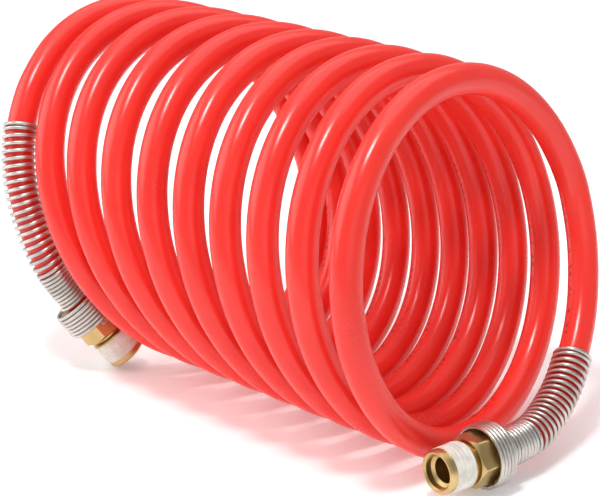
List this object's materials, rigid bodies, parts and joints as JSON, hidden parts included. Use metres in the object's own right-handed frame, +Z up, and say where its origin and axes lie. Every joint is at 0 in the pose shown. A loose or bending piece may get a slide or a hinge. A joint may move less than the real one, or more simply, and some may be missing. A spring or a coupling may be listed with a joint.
{
  "type": "coiled air hose",
  "caption": "Self-retracting coiled nylon air hose with a threaded brass swivel fitting and a wire spring guard at each end.",
  "frame": {"origin": "on the supporting surface under the middle of the whole hose as it lies, coil and ends together", "axes": "+X along the coil from the inlet end to the outlet end, +Y across the coil, +Z up"},
  "size_m": [0.1925, 0.1199, 0.1175],
  "materials": {
    "red_nylon": "glossy, slightly translucent extruded nylon with small printed marks",
    "brass_fitting": "machined brass, lightly tarnished",
    "plated_wire": "bright zinc or nickel plated spring wire",
    "plated_steel": "plated steel",
    "black_rubber": "matt nitrile rubber",
    "white_sealant": "dried white thread sealant"
  },
  "bodies": {
    "hose": {"hose_coil": "red_nylon", "inlet_hose_end": "red_nylon", "inlet_swivel_stem": "brass_fitting", "inlet_o_ring": "black_rubber", "inlet_thrust_washer": "plated_steel", "inlet_guard_collar": "brass_fitting", "inlet_spring_guard": "plated_wire"},
    "outlet_end": {"outlet_hose_end": "red_nylon", "outlet_swivel_stem": "brass_fitting", "outlet_o_ring": "black_rubber", "outlet_thrust_washer": "plated_steel", "outlet_guard_collar": "brass_fitting", "outlet_spring_guard": "plated_wire"},
    "outlet_nipple": {"outlet_nipple": "brass_fitting", "outlet_thread_sealant": "white_sealant", "outlet_retaining_ring": "plated_steel"},
    "inlet_nipple": {"inlet_nipple": "brass_fitting", "inlet_thread_sealant": "white_sealant", "inlet_retaining_ring": "plated_steel"}
  },
  "joints": [
    {"name": "coil_stretch", "type": "slide", "parent": "hose", "child": "outlet_end", "axis": [1, 0, 0], "range_m": [-0.012, 0.75], "stiffness_N_per_m": 15, "deforming": ["hose_coil"]},
    {"name": "outlet_swivel", "type": "hinge", "parent": "outlet_end", "child": "outlet_nipple", "pos_m": [0.0852, -0.0359, 0.00985], "axis": [-0.1, -0.995, 0], "continuous": true},
    {"name": "inlet_swivel", "type": "hinge", "parent": "hose", "child": "inlet_nipple", "pos_m": [-0.0566, -0.031, 0.0045], "axis": [0.4141, 0.4851, -0.7702], "continuous": true}
  ]
}
